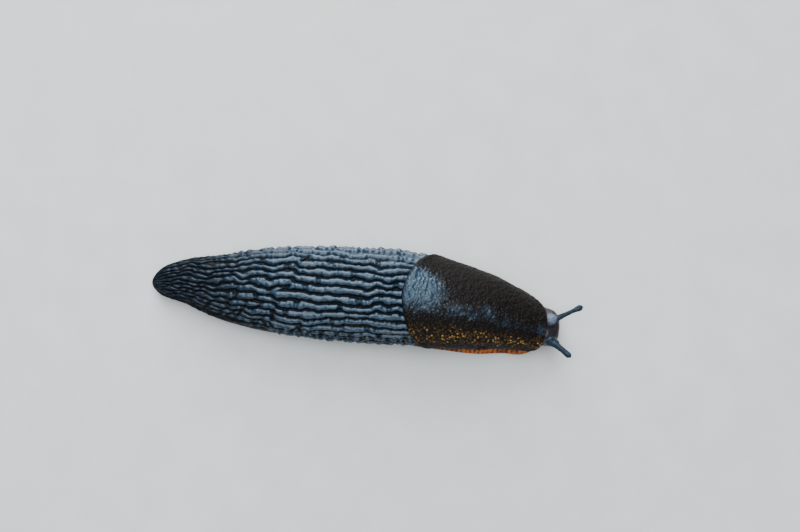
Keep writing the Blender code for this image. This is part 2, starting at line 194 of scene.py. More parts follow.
# Gaps between the tubercles of a row, and how far a full gap narrows and lowers the crest and takes away its
# painted sheen, as painted shade in the dip
LONG_TUBERCLE = (7.0, 28.0)
BREAK_SEED = 21
SPARE_ROWS = 2
BREAK_TAPER = 0.9
BREAK_DEPTH = (0.45, 1)
SHORT_SHARE = 0.1
FLANK_START = (0.3, 0.7)
TAIL_SHORTENS = 31.0
TAIL_SHORT_SHARE = 0.13
TAIL_SHORT_POWER = 3
GAP_NARROWS = 0.5
GAP_LOWERS = 0.7
GAP_DIMS_SHEEN = 0.6

# Rows stray from straight lines, more so near the tail
SLOW_SWAY = Waves(0.3, 6.5, 3, 1)
QUICK_SWAY = Waves(1, 2.1, 1.6, 2)
QUICK_SWAY_HEIGHT = 0.24
TAIL_SWAY_HEIGHT = 0.3
TAIL_SWAY_REACH = (14, 33)
FINE_SWAY = Waves(0.09, 0.9, 1 / 1.5, 7)

# Rows on the middle of the back are out of step with those behind a wavy line
FAULT_STATION = 31.5
FAULT_WAVES = Waves(6.0, 1.3, 2, 3)
FAULT_SHIFT = 0.5
FAULT_LENGTH = 0.6
FAULT_GAP = Hump(0.5, 0, 0.5)
FAULT_FLANKS = (0.45, 0.75)

# Folds run across the right flank: station and depth
FOLDS = ((20.5, 0.5), (26.0, 0.9), (33.2, 0.9), (43.5, 0.45))
FOLD_LENGTH = 0.45
FOLD_WAVES = Waves(1.5, 1.5, 1, 18)
RIGHT_FLANK = (0.24, 0.4)
RIGHT_FLANK_WAVES = Waves(0.06, 3, 1, 17)

# Crests are broader on the left flank, and its grooves get painted sheen, the blue sky reflection of the far
# flank
LEFT_FLANK = (0.62, 0.88)
LEFT_FLANK_START = (12, 26)
LEFT_WIDENS = 0.05
LEFT_SHEEN = 0.75

# Head
HORN_START = (84, 87)
HEAD_GRAIN_SEED = 31
HEAD_GRAIN_PITCH = 0.55
HEAD_ROW_WIDTH = 0.5
HEAD_GRAIN_RISE = 1.2
HEAD_FOLD_WAVES = Waves(0.8, 0.9, 2, 33)
HEAD_SMOOTHING = 4
HEAD_CREST = 0.6
NAPE_GROOVE = Hump(0.28, 0, 0.07)
NAPE_START = (83, 86.5)
NAPE_END = (88.6, 89.7)
BULGES = ((87.6, 1.75, 1.15, 0.75), (87.6, -2.6, 1.1, 0.5))  # station, distance to the left, reach, rise
BULGE_LIMIT = 0.4
# Pale mark with a painted highlight on the left bulge: lift of its middle and fade over shares of its reach
PALE_LIFT = 1
PALE_FADE = (0.6, 1.4)

# Painted amber glints on the right flank under the mantle's rim, over the share of the rows and the stations
FLANK_GLINTS = Hump(0.85, 0.14, 0.12)
FLANK_GLINT_START = (38, 62)

# Mantle
MANTLE_REAR = 55.4
MANTLE_MIDDLE = 66.0
MANTLE_FRONT = 86.9
MANTLE_REAR_SWEEP = 7.5
MANTLE_REAR_POWER = 1.5
MANTLE_FRONT_SWEEP = 1.6
MANTLE_FRONT_SKEW = 0.6
MANTLE_CORNER = 2.6
MANTLE_CORNER_POWER = 10
MANTLE_SLANT = 3.8
MANTLE_SLANT_POWER = 4
MANTLE_HALF_ANGLE = math.radians(101)
MANTLE_LIFT = 0.3
MANTLE_THICKNESS = 1.05
MANTLE_RIM = 1.0
RIM_EDGE_SHARE = 0.3
RIM_SWELL = Hump(0.12, 1.1, 0.7)
LIP_TUCK = 0.35
LIP_ROOT = 0.55
LIP_UNDER = 0.15
ROOT_DEPTH = 1.0
MANTLE_GRID = (162, 184)
MANTLE_GRAIN_SEED = 43
MANTLE_GRAIN_PITCH = 0.75
MANTLE_GRAIN_RISE = 1.5
MANTLE_SWELLINGS = Waves(0.10, 6, 5, 44)
RELIEF_TO_CREST = 2.5

# Wrinkled patch at the mantle's rear, painted slate blue as a painted sky reflection, over the stations and
# across, and the streak of painted reflection that runs forward from it. Across is a share of the mantle's
# half angle
SADDLE_ALONG = Hump(1, 58.8, 8.0)
SADDLE_ACROSS = Hump(1, 0.08, 0.37)
STREAK_ACROSS = Hump(0.62, -0.1, 0.24)
WRINKLE_PITCH = 0.95
WRINKLE_SWAY = Waves(0.8, 1.6, 2.0, 41)
WRINKLE_FRAY = Waves(0.5, 0.6, 1, 42)

# Band along the mantle's sides, mostly the right one, with brown dust and painted amber glints
BAND = Hump(1, math.radians(52), math.radians(18))
BAND_START = (55, 59)
BAND_LEFT_SHARE = 0.1

# Breathing pore. Its hollow and lip lie over the distance from its middle as a share of its radii
PORE_STATION = 74.5
PORE_ANGLE = math.radians(-86)
PORE_RADII = (1.25, 0.8)
PORE_HOLLOW = Hump(0.85, 0, 0.62)
PORE_LIP = Hump(0.16, 1.25, 0.35)
SLIT = Hump(0.35, 0, 0.32)
SLIT_SLANT = 0.25
SLIT_REACH = (-0.4, -1.2)

# Tentacles: distance of the root to the left, length, root radius, tip radius, lift and turn to the left.
# The roots of a pair have one station and level
UPPER_LEFT = (1.7, 5.4, 0.64, 0.66, math.radians(14), math.radians(35))
UPPER_RIGHT = (-2.75, 4.4, 0.84, 0.68, math.radians(22), math.radians(-32))
LOWER_LEFT = (1.75, 1.5, 0.46, 0.38, math.radians(-22), math.radians(30))
LOWER_RIGHT = (-1.75, 1.5, 0.46, 0.38, math.radians(-22), math.radians(-30))
UPPER_ROOT = (88.3, 5.0)
LOWER_ROOT = (88.7, 3.1)
COLLAR_LENGTH = 1.0
COLLAR_SINK = 1.6
STALK_WAIST = 0.70
WAIST_PLACE = 0.8
LOWER_TAPER = 0.1
UPPER_SWELL = Hump(0.52, 0.05, 0.8)
LOWER_SWELL = Hump(0.12, 0, 0.7)
KNOB_START = 0.62
STALK_BEND = 0.35
STALK_RINGS = 58
STALK_SIDES = 36
TIP_RINGS = 9
STALK_GRAIN = Waves(0.05, 0.34, 1, 51)
STALK_GRAIN_PER_RADIAN = 2.2
STALK_GRAIN_APART = 9
STALK_CREASE_DEPTH = 0.035
STALK_CREASE_PITCH = 0.42
STALK_CREASE_START = (0.8, 1.6)
ROUGH_RADIUS = 0.1
ROUGH_TO_CREST = 5
STALK_ALONG = 3
EYE_GAP = 0.6
EYE_SHARE = 0.5
EYE_SINK = 0.62
EYE_SIDES = 28

# Mouth
MOUTH_STATION = 88.7
MOUTH_LEVEL = 2.95
LOBE_RADII = (0.95, 0.85, 0.7)
LOBE_OFFSET = 0.62
MOUTH_RADII = (0.6, 0.75, 0.1)
MOUTH_ALONG = 88
LIP_SIDES = 36

# Rounding of the creases at the roots of the tentacles and lips
CREASE_ANGLE = math.radians(22)
CREASE_REACH = 0.35
CREASE_MERGE = 0.05
ROOT_REACH = 2.0
CREASE_PASSES = 10
TINT_REACH = 1.0
TINT_PASSES = 24

# Lattice of the seeded waves, and how much finer the second layer of granules is
LATTICE = 64
PEBBLE_FINENESS = 1.3

MERGE = 0.000001  # metres

# Bake map, in shares of its side: the scale is per millimetre, and the places are the lower left corners
UV_SCALE = 0.01
MANTLE_UV = (0.0, 0.64)
MANTLE_UV_REACH = 18
LINING_UV = (0.36, 0.64)
STALK_UV = (0.72, 0.64)
STALK_UV_APART = 0.09
STALK_UV_SIDE = 0.0012
BALL_UV = (0.93, 0.9)
BALL_UV_SCALE = 0.02
BALL_UV_RISE = 0.03

# Sizes of the finish's patterns
GRAIN_SIZE = 0.45
MOTTLE_SIZE = 3.2
PATCH_SIZE = 1.9
GRANULE_SIZE = 0.55
PIT_SIZE = 0.16
PIT_DEPTH = 0.035
GRANULE_BUMP = 0.15
CLOUD_SIZE = 0.3
FLOOR_TONE_SIZE = 9.0
FLOOR_SHADE = 0.94

# Limits between which the finish's patterns and colours come or go. Those along the body are stations
GRANULE_EDGE = (0.62, 0.12)
CREST_EDGE = (0.28, 0.9)
# Stations over which the tail's painted shade gives way to the crests' full painted sheen
CREST_TAIL_SHADE = (10, 34)
SLATE_SHEEN_EDGE = (0.25, 0.95)
SLATE_SHINE = (0.2, 1.0)
GLINT_EDGE = (0.78, 1.35)
GLINT_BAND = (0.05, 0.3)
GLINT_TONE = (0.3, 0.9)
DUST_EDGE = (0.1, 0.8)
BROWN_EDGE = (0.4, 0.75)
BROWN_START = (40, 80)
BAR_EDGE = (-0.1, 0.7)
BLOTCH_EDGE = (0.42, 0.62)
DUSK_END = (60, 74)
DUSK_FRONT = (85.5, 88.5)
CLOUD_EDGE = (0.4, 0.8)
FLOOR_TONE_EDGE = (0.3, 0.7)

# Gloss of the skin
COAT_ROUGHNESS = 0.22
SLIME_IOR = 1.4
SKIN_SPECULAR = 0.1
EYE_SPECULAR = 0.18

# Stage, in metres. Lamps: name, share of the soft box's power, side and place
FLOOR_SIZE = 12.0
LAMPS = (
    ("soft_box", 1, 0.70, (-0.06, 0.10, 0.60)),
    ("side_fill", 1.4, 0.6, (-0.10, 0.62, 0.28)),
    ("near_fill", 0.21, 0.5, (-0.05, -0.60, 0.25)),
)
LAMP_COLOUR = (0.78, 0.91, 1.0)
SKY_COLOUR = (0.75, 0.88, 1.0)
SKY_STRENGTH = 0.16
NEAR_CLIP = 0.01

# View: the photograph's size and one point in it, in pixels, then that point's place on the slug
PHOTO_SIZE = (800, 532)
AIM_PIXEL = (350, 297)
AIM_STATION = 44.1
AIM_LEVEL = 6.0
LENS = 50
SENSOR = 36


def colour_property(name, description, default):
    """A linear colour of the panel."""
    return bpy.props.FloatVectorProperty(
        name=name, description=description, subtype="COLOR", size=3, min=0, max=1, default=default
    )


def length_property(name, description, default):
    """A length of the panel, in metres."""
    return bpy.props.FloatProperty(
        name=name, description=description, unit="LENGTH", precision=5, min=0, default=default
    )


class SlugFormSettings(bpy.types.PropertyGroup):
    """Sizes of the skin's relief."""

    ridge_rise: length_property("Ridge rise", "Height of the tallest tubercles", 0.78 * MM)
    bead_depth: bpy.props.FloatProperty(
        name="Beading", description="How strongly tubercles swell and narrow", default=0.05, min=0
    )
    wrinkle_depth: length_property("Wrinkles", "Depth of the mantle's rear wrinkles", 0.08 * MM)
    granule_depth: length_property("Granules", "Depth of the mantle's and head's granules", 0.09 * MM)


class SlugFinishSettings(bpy.types.PropertyGroup):
    """Colours of the skin and eyes."""

    # Painted blue sky sheen on the black skin of the crests
    crest: colour_property("Crests", "Crests of the tubercles", (0.014, 0.029, 0.048))
    groove: colour_property("Grooves", "Grooves between tubercles", (0.0022, 0.0022, 0.003))
    mantle: colour_property("Mantle", "Sides of the mantle", (0.0135, 0.0068, 0.0028))
    # Painted blue sky sheen on the wrinkled top of the mantle's rear and middle
    saddle: colour_property("Saddle", "Rear and middle of the mantle", (0.014, 0.031, 0.050))
    # Painted amber glints on the granules of the mantle's right side and the flank below
    fleck_glint: colour_property("Flecks", "Amber flecks along the mantle's right side", (0.36, 0.18, 0.04))
    dust: colour_property("Dust", "Brown skin between the flecks", (0.066, 0.031, 0.006))
    fringe: colour_property("Fringe", "Foot fringe", (0.42, 0.095, 0.018))
    rust: colour_property("Rust", "Red-brown blotches of the fringe", (0.085, 0.020, 0.006))
    bar: colour_property("Bars", "Dark bars across the fringe", (0.014, 0.008, 0.006))
    sole: colour_property("Sole", "Underside of the foot", (0.12, 0.10, 0.085))
    tentacle: colour_property("Tentacles", "Head and tentacles", (0.010, 0.018, 0.028))
    # Pale skin with a painted highlight on the left upper tentacle's root
    bulge: colour_property("Bulge", "Swollen root of the left upper tentacle", (0.15, 0.17, 0.23))
    eye: colour_property("Eyes", "Eye beads", (0.0015, 0.0015, 0.002))
    wetness: bpy.props.FloatProperty(
        name="Wetness", description="Weight of the slime coat", subtype="FACTOR", default=0.9, min=0, max=1
    )


class SlugStageSettings(bpy.types.PropertyGroup):
    """Floor, light and view."""

    floor: colour_property("Floor", "Plain pale floor", (0.56, 0.515, 0.475))
    sky_power: bpy.props.FloatProperty(
        name="Soft box", description="Power of the large light overhead", unit="POWER", default=9.0, min=0
    )
    distance: length_property("Distance", "Distance of the camera", 0.243)
    elevation: bpy.props.FloatProperty(
        name="Elevation",
        description="Angle of the view over the floor",
        subtype="ANGLE",
        default=math.radians(83),
    )


def smooth(table, column, x):
    """Passes smoothly through one column of a table whose first column is x."""
    rows = np.array(table, float)
    xs, ys = rows[:, 0], rows[:, column]
    before = np.maximum(np.arange(len(xs)) - 1, 0)
    after = np.minimum(np.arange(len(xs)) + 1, len(xs) - 1)
    slopes = (ys[after] - ys[before]) / (xs[after] - xs[before])
    i = np.clip(np.searchsorted(xs, x, side="right") - 1, 0, len(xs) - 2)
    span = xs[i + 1] - xs[i]
    q = np.clip((x - xs[i]) / span, 0, 1)
    rise = q * q * (3 - 2 * q)
    bend = (1 - q) * slopes[i] - q * slopes[i + 1]
    return ys[i] * (1 - rise) + ys[i + 1] * rise + span * q * (1 - q) * bend


def ramp(low, high, x):
    """0 below low, 1 above high and a smooth step between."""
    q = np.clip((x - low) / (high - low), 0, 1)
    return q * q * (3 - 2 * q)


def bell(x, width):
    """A bell curve of height 1."""
    return np.exp(-((x / width) ** 2))


def ripple(x, y, seed):
    """Smooth seeded waves from -1 to 1, one lattice step long, that repeat after as many steps as it has."""
    lattice = np.random.default_rng(seed).uniform(-1, 1, (LATTICE, LATTICE))
    x, y = np.broadcast_arrays(np.asarray(x, float), np.asarray(y, float))
    i, j = np.floor(x).astype(int), np.floor(y).astype(int)
    p, q = ramp(0, 1, x - i), ramp(0, 1, y - j)

    def at(di, dj):
        return lattice[(i + di) % LATTICE, (j + dj) % LATTICE]

    near = at(0, 0) * (1 - p) + at(1, 0) * p
    far = at(0, 1) * (1 - p) + at(1, 1) * p
    return near * (1 - q) + far * q


def from_midline(station, across, level):
    """Points given by station, distance to the left of the midline and level, in the body's own frame."""
    behind = smooth(BODY_SIZES, 3, station - SLOPE_REACH)
    ahead = smooth(BODY_SIZES, 3, station + SLOPE_REACH)
    length = np.hypot(2 * SLOPE_REACH, ahead - behind)
    forward_x, forward_y = 2 * SLOPE_REACH / length, (ahead - behind) / length
    x = station - across * forward_y
    y = smooth(BODY_SIZES, 3, station) + across * forward_x
    return np.stack(np.broadcast_arrays(x, y, level), axis=-1)


def heading(station):
    """Directions forward and to the left at a station."""
    left = Vector(from_midline(station, 1, 0) - from_midline(station, 0, 0))
    return left.cross(Vector((0, 0, 1))), left


def closing(station):
    """Share of its full size that a section has near an end, and the level that it shrinks to."""
    tail = np.clip(1 - station / TAIL_ROUND, 0, 1)
    head = np.clip((station - BODY_LENGTH + HEAD_ROUND) / HEAD_ROUND, 0, 1)
    share = np.sqrt(1 - tail**2) * (1 - head**HEAD_BLUNTNESS) ** (1 / HEAD_BLUNTNESS)
    return share, np.where(station < BODY_LENGTH / 2, TAIL_TIP_LEVEL, SNOUT_LEVEL)


def body_surface(station, angle, rise):
    """Points over the arch of the body. The angle is 0 on the back and positive to the left."""
    width, height = smooth(BODY_SIZES, 1, station), smooth(BODY_SIZES, 2, station)
    side = GROOVE_LEVEL + SIDE_LEVEL * (height - GROOVE_LEVEL)
    below = (side - GROOVE_LEVEL) / -math.cos(ARCH_HALF_ANGLE)
    drop = np.where(np.abs(angle) > math.pi / 2, below, height - side)
    out_across, out_up = np.sin(angle) / width, np.cos(angle) / drop
    length = np.hypot(out_across, out_up)
    share, end_level = closing(station)
    across = (width * np.sin(angle) + rise * out_across / length) * share
    level = side + drop * np.cos(angle) + rise * out_up / length
    return from_midline(station, across, end_level + (level - end_level) * share)


def row_angle(station, place):
    """Angle of a place across the rows, from 0 at the right groove to ROWS at the left one."""
    share = 2 * place / ROWS - 1
    squeeze = 1 - ROW_SPREAD * bell(station - MANTLE_REAR, ROW_SPREAD_LENGTH) * (1 - share**2)
    return share * squeeze * ARCH_HALF_ANGLE


def break_depth(row, station):
    """How fully each point lies in a gap between two tubercles of its row, from 0 to 1."""
    draw = np.random.default_rng(BREAK_SEED)
    depth = np.zeros(station.shape)
    for number in range(-SPARE_ROWS, ROWS + SPARE_ROWS + 1):
        flank = min(abs(2 * number / ROWS - 1), 1)
        shorten = 1 - (1 - SHORT_SHARE) * ramp(*FLANK_START, flank)
        breaks = [-draw.uniform(*LONG_TUBERCLE) * shorten]
        while breaks[-1] < BODY_LENGTH:
            way = min(max(breaks[-1], 0) / TAIL_SHORTENS, 1) ** TAIL_SHORT_POWER
            shrink = shorten * (TAIL_SHORT_SHARE + (1 - TAIL_SHORT_SHARE) * way)
            breaks.append(breaks[-1] + draw.uniform(*LONG_TUBERCLE) * shrink)
        breaks, full = np.array(breaks), draw.uniform(*BREAK_DEPTH, len(breaks))
        here = row == number
        after = np.clip(np.searchsorted(breaks, station[here]), 1, len(breaks) - 1)
        gaps = [
            full[side] * (1 - ramp(0, BREAK_TAPER, np.abs(station[here] - breaks[side])))
            for side in (after - 1, after)
        ]
        depth[here] = np.maximum(*gaps)
    return depth


def tubercles(station, place, form):
    """Rise of the long tubercles over the body, and the painted sheen mark of each point, from 0 to 1:
    highest on crests, dimmed in gaps, lifted on the left flank.
    """
    flank = np.abs(2 * place / ROWS - 1)
    jump = station - FAULT_STATION - FAULT_WAVES.over(place, 1)
    central = 1 - ramp(*FAULT_FLANKS, flank)
    fault = FAULT_SHIFT * ramp(-FAULT_LENGTH, FAULT_LENGTH, jump) * central
    restless = QUICK_SWAY_HEIGHT + TAIL_SWAY_HEIGHT * (1 - ramp(*TAIL_SWAY_REACH, station))
    shifted = place + fault + SLOW_SWAY.over(station, place)
    shifted = shifted + restless * QUICK_SWAY.over(station, place) + FINE_SWAY.over(station, place)
    row = np.floor(shifted)
    apart = np.abs(shifted - row - 0.5)
    gap = np.maximum(break_depth(row, station), FAULT_GAP.over(jump) * central)
    right = 1 - ramp(*RIGHT_FLANK, place / ROWS + RIGHT_FLANK_WAVES.over(station, 0))
    for middle, depth in FOLDS:
        bent = station - middle - FOLD_WAVES.over(place, middle)
        gap = np.maximum(gap, depth * bell(bent, FOLD_LENGTH) * right)
    phase = row * BEAD_PHASE_PER_ROW + BEAD_PHASE.over(station, row)
    bead = form.bead_depth * np.sin(2 * math.pi * station / BEAD_PITCH + phase)
    left = ramp(*LEFT_FLANK, place / ROWS) * ramp(*LEFT_FLANK_START, station)
    half = (CREST_HALF_WIDTH + LEFT_WIDENS * left) * (1 - GAP_NARROWS * gap)
    half = half * (1 + bead + SWELL.over(station, row))
    crest = (1 - np.clip(apart / half, 0, 1) ** CREST_POWERS[0]) ** CREST_POWERS[1]
    width = 2 * ARCH_HALF_ANGLE * smooth(BODY_SIZES, 1, station) / ROWS
    rise = np.minimum(form.ridge_rise / MM, RISE_PER_ROW_WIDTH * width) * (1 - GAP_LOWERS * gap)
    height = rise * (1 + bead + TOP.over(station, place)) * crest - GROOVE_DEPTH * (1 - crest)
    fade = 1 - HEAD_FADE_AMOUNT * ramp(*HEAD_FADE, station)
    edge = ramp(0, GROOVE_EDGE, np.minimum(place, ROWS - place))
    # Painted sheen mark: full on crests, less in gaps as painted shade, more on the left flank as painted
    # sky reflection
    near = crest * edge * (1 - GAP_DIMS_SHEEN * gap)
    near = near + LEFT_SHEEN * left * edge * (1 - near)
    return height * fade * edge * closing(station)[0], near


def pebbles(x, y, pitch, seed):
    """Low rounded granules about one pitch apart, from 0 to 1."""
    fine = pitch / PEBBLE_FINENESS
    layers = ripple(x / pitch, y / pitch, seed) + ripple((x + y) / fine, (x - y) / fine, seed + 1)
    return np.clip(0.5 + 0.5 * layers, 0, 1)


def body_stations():
    """Stations of the skin's sections: close together in the round ends, wider apart under the mantle."""
    tail = TAIL_ROUND * (1 - np.cos(np.linspace(0, math.pi / 2, TAIL_SECTIONS)[:-1]))
    ridged = np.arange(TAIL_ROUND, HIDDEN_START, RIDGED_STEP)
    hidden = np.arange(HIDDEN_START, NECK_START, HIDDEN_STEP)
    neck = np.arange(NECK_START, BODY_LENGTH - HEAD_ROUND, NECK_STEP)
    head = BODY_LENGTH - HEAD_ROUND * (1 - np.sin(np.linspace(0, math.pi / 2, HEAD_SECTIONS)))
    return np.concatenate((tail, ridged, hidden, neck, head))


def foot_width(station, side):
    """Station of the foot under a body station, its half width on one side and its share in the ends."""
    lag = (BODY_LENGTH - FOOT_LENGTH) * ramp(FOOT_LAG_START, BODY_LENGTH, station)
    under = station - lag
    rear = np.clip(1 - under / FOOT_TAIL_ROUND, 0, 1)
    front = np.clip((under - FOOT_LENGTH + FOOT_FRONT_ROUND) / FOOT_FRONT_ROUND, 0, 1)
    share = np.sqrt(1 - rear**2) * np.sqrt(1 - front**2)
    return under, smooth(FOOT_SIZES, 1 if side > 0 else 2, under), share


def foot_sections(station, side):
    """The fringe and half of the sole on one side, from the groove to the middle of the sole."""
    station = station[:, None]
    under, width, share = foot_width(station, side)
    way = np.linspace(0, 1, FRINGE_COLUMNS)[None, :]
    inset, level = smooth(FRINGE_OUTLINE, 1, way), smooth(FRINGE_OUTLINE, 2, way)
    bottom = smooth(BODY_SIZES, 1, station) * math.sin(ARCH_HALF_ANGLE)
    tuck = np.maximum(width - bottom + FRINGE_TUCK - FRINGE_OUTLINE[0][1], 0)
    inset = inset + tuck * (1 - ramp(0, FRINGE_OUTLINE[1][0], way))
    wave = np.sin(2 * math.pi * station / FRINGE_PITCH + FRINGE_PHASE.over(station, side))
    strength = FRINGE_CALM + (1 - FRINGE_CALM) * FRINGE_STRENGTH.over(station, side) ** 2
    inset = inset - FRINGE_WRINKLE * wave * strength * FRINGE_WRINKLED.over(way)
    fringe = from_midline(under, side * (width - inset) * share, level)
    inward = np.linspace(1, 0, SOLE_COLUMNS + 1)[None, 1:]
    sole = from_midline(under, side * (width - FRINGE_OUTLINE[-1][1]) * share * inward, 0)
    return np.concatenate((fringe, sole), axis=1)


@contextmanager
def editing(data):
    """Opens a mesh for editing and writes it back at the end."""
    mesh = bmesh.new()
    mesh.from_mesh(data)
    yield mesh
    mesh.to_mesh(data)
    mesh.free()


def even_out(mesh, verts, passes):
    """Moves each point of an open mesh half way to the mean of its neighbours, several times."""
    axes = {"use_axis_x": True, "use_axis_y": True, "use_axis_z": True}
    for _ in range(passes):
        bmesh.ops.smooth_vert(mesh, verts=verts, factor=0.5, **axes)


def put(name, data):
    """A new object in the scene."""
    made = bpy.data.objects.new(name, data)
    bpy.context.scene.collection.objects.link(made)
    return made


def set_marks(data, marks):
    """Gives the points of a mesh named values, one for all points or one for each."""
    for mark, values in marks.items():
        spread = np.broadcast_to(np.asarray(values, np.float32), (len(data.vertices),))
        data.attributes.new(mark, "FLOAT", "POINT").data.foreach_set("value", spread.copy())


def new_object(name, points, quads, corner_uvs, marks):
    """A mesh object from points in millimetres, with its bake map and its named values per point."""
    data = bpy.data.meshes.new(name)
    data.from_pydata((points * MM).tolist(), [], quads.tolist())
    layer = data.uv_layers.new(name="OFBake")
    layer.data.foreach_set("uv", corner_uvs.astype(np.float32).ravel())
    set_marks(data, marks)
    return put(name, data)


MARKS = ("along", "crest", "mantle", "saddle", "band", "fringe", "sole", "horn")


def all_marks(**values):
    """Every mark of the skin, 0 where it isn't given."""
    return {mark: values.get(mark, 0) for mark in MARKS}


def tube_faces(rings, columns):
    """Quads round a grid of rings whose last column joins the first, as point and corner numbers."""
    i, j = np.meshgrid(np.arange(rings - 1), np.arange(columns), indexing="ij")
    corners = np.stack((i, i + 1, i + 1, i, j, j, j + 1, j + 1), axis=-1).reshape(-1, 8)
    ring, column = corners[:, :4], corners[:, 4:]
    return ring * columns + column % columns, ring, column


def welded(made):
    """Merges the points that meet at the ends of a form and turns its faces outwards."""
    with editing(made.data) as mesh:
        bmesh.ops.remove_doubles(mesh, verts=mesh.verts, dist=MERGE)
        bmesh.ops.dissolve_degenerate(mesh, edges=mesh.edges, dist=MERGE)
        bmesh.ops.recalc_face_normals(mesh, faces=mesh.faces)
    return made


def head_relief(station, place, rise, crest, form):
    """Adds the head's granules, the swollen tentacle roots and the nape's groove to the rise and crests."""
    end = closing(station)[0]
    face = ramp(*HEAD_FADE, station)
    grains = pebbles(station, place * HEAD_ROW_WIDTH, HEAD_GRAIN_PITCH, HEAD_GRAIN_SEED) - 0.5
    folds = HEAD_GRAIN_RISE * grains + HEAD_FOLD_WAVES.over(station, place)
    rise = rise + face * form.granule_depth / MM * folds * end**2
    crest = crest * (1 - face) + face * (0.5 + 0.5 * grains * end**2)
    across = smooth(BODY_SIZES, 1, station) * np.sin(row_angle(station, place)) * end
    upper = np.abs(place / ROWS - 0.5) < BULGE_LIMIT
    for middle, side, reach, swelling in BULGES:
        apart = np.hypot(station - middle, across - side)
        rise = rise + swelling * bell(apart, reach) * upper
    groove = NAPE_GROOVE.over(2 * place / ROWS - 1)
    groove = groove * ramp(*NAPE_START, station) * (1 - ramp(*NAPE_END, station))
    return rise - groove, crest


def make_body(form):
    """Body and foot as one closed form, with the tubercles raised on it."""
    station = body_stations()
    place = np.linspace(0, ROWS, ROWS * ROW_COLUMNS + 1)
    s, p = np.meshgrid(station, place, indexing="ij")
    rise, crest = head_relief(s, p, *tubercles(s, p, form), form)
    back = body_surface(s, row_angle(s, p), rise)
    left, right = foot_sections(station, 1), foot_sections(station, -1)
    points = np.concatenate((back, left, right[:, -2::-1]), axis=1)
    rings, columns = points.shape[:2]
    edge = np.zeros(columns - len(place))
    edge[2:FRINGE_COLUMNS] = 1
    edge[-FRINGE_COLUMNS + 1 : -1] = 1
    under = np.zeros(columns - len(place))
    under[FRINGE_COLUMNS:-FRINGE_COLUMNS] = 1

    def all_round(above, below):
        """Values of every point from those over the arch and those of the columns under it."""
        below = np.broadcast_to(below, (rings, columns - len(place)))
        return np.concatenate((above, below), axis=1).ravel()

    quads, ring, column = tube_faces(rings, columns)
    section = points[rings // 2]
    sides = np.linalg.norm(np.diff(section, axis=0, append=section[:1]), axis=1)
    girth = np.concatenate(([0], np.cumsum(sides)))
    uvs = np.stack((station[ring] * UV_SCALE, girth[column] * UV_SCALE), axis=-1)
    # Painted amber glints on the right flank
    glint_flecks = FLANK_GLINTS.over(p / ROWS) * ramp(*FLANK_GLINT_START, s) * (1 - ramp(*HEAD_FADE, s))
    marks = all_marks(
        along=np.repeat(station, columns),
        crest=all_round(crest, 0),
        band=all_round(glint_flecks, 0),
        fringe=all_round(0 * crest, edge),
        sole=all_round(0 * crest, under),
        horn=all_round(ramp(*HORN_START, s), 0),
    )
    made = welded(new_object("body_form", points.reshape(-1, 3), quads, uvs, marks))
    with editing(made.data) as mesh:
        horn, fringe = (mesh.verts.layers.float[name] for name in ("horn", "fringe"))
        head = [vert for vert in mesh.verts if vert[horn] > 0.9 and vert[fringe] < 0.5]
        even_out(mesh, head, HEAD_SMOOTHING)
    return made


def mantle_limits(share):
    """Stations between which the mantle lies. The share is the angle over the mantle's half angle."""
    corner = MANTLE_CORNER * np.abs(share) ** MANTLE_CORNER_POWER
    rear = MANTLE_REAR + MANTLE_REAR_SWEEP * np.abs(share) ** MANTLE_REAR_POWER + corner
    slant = MANTLE_SLANT * np.maximum(share, 0) ** MANTLE_SLANT_POWER
    front = MANTLE_FRONT - MANTLE_FRONT_SWEEP * share**2 - MANTLE_FRONT_SKEW * share - corner - slant
    return rear, front


def mantle_station(way, share):
    """Station at a share of the way from the rear of the mantle to its front."""
    rear, front = mantle_limits(share)
    return rear + (front - rear) * way


def breathing_pore(station, girth):
    """The nearly closed pore: a hollow with a raised lip, and a slit that runs down from it."""
    ahead = station - PORE_STATION
    above = girth - PORE_ANGLE * smooth(BODY_SIZES, 1, station)
    apart = np.hypot(ahead / PORE_RADII[0], above / PORE_RADII[1])
    slit = SLIT.over(ahead + SLIT_SLANT * above) * ramp(*SLIT_REACH, above)
    return PORE_LIP.over(apart) - PORE_HOLLOW.over(apart) - slit


def mantle_relief(station, share, form):
    """Wrinkles across the rear, granules all over, low swellings and the breathing pore."""
    girth = share * MANTLE_HALF_ANGLE * smooth(BODY_SIZES, 1, station)
    rear = SADDLE_ALONG.over(station) * SADDLE_ACROSS.over(share)
    crossing = station / WRINKLE_PITCH + WRINKLE_SWAY.over(girth, station)
    crossing = crossing + WRINKLE_FRAY.over(girth, station)
    wrinkles = form.wrinkle_depth / MM * np.sin(2 * math.pi * crossing) * rear
    grains = pebbles(station, girth, MANTLE_GRAIN_PITCH, MANTLE_GRAIN_SEED) - 0.5
    granules = MANTLE_GRAIN_RISE * form.granule_depth / MM * grains
    swellings = MANTLE_SWELLINGS.over(station, girth)
    return wrinkles + granules + swellings + breathing_pore(station, girth), rear


def mantle_faces(along, around):
    """Quads of the outer sheet, the lip, the root and the lining, as point numbers."""
    count = along * around
    number = np.arange(count).reshape(along, around)
    loop = np.concatenate((number[0, :-1], number[:-1, -1], number[-1, :0:-1], number[:0:-1, 0]))
    sheet = np.stack((number[:-1, :-1], number[1:, :-1], number[1:, 1:], number[:-1, 1:]), axis=-1)
    sheet = sheet.reshape(-1, 4)
    following = np.roll(loop, -1)
    strips = [
        np.stack((loop + high, following + high, following + low, loop + low), axis=-1)
        for high, low in ((0, count), (count, 2 * count))
    ]
    return np.concatenate((sheet, *strips, sheet[:, ::-1] + 2 * count))


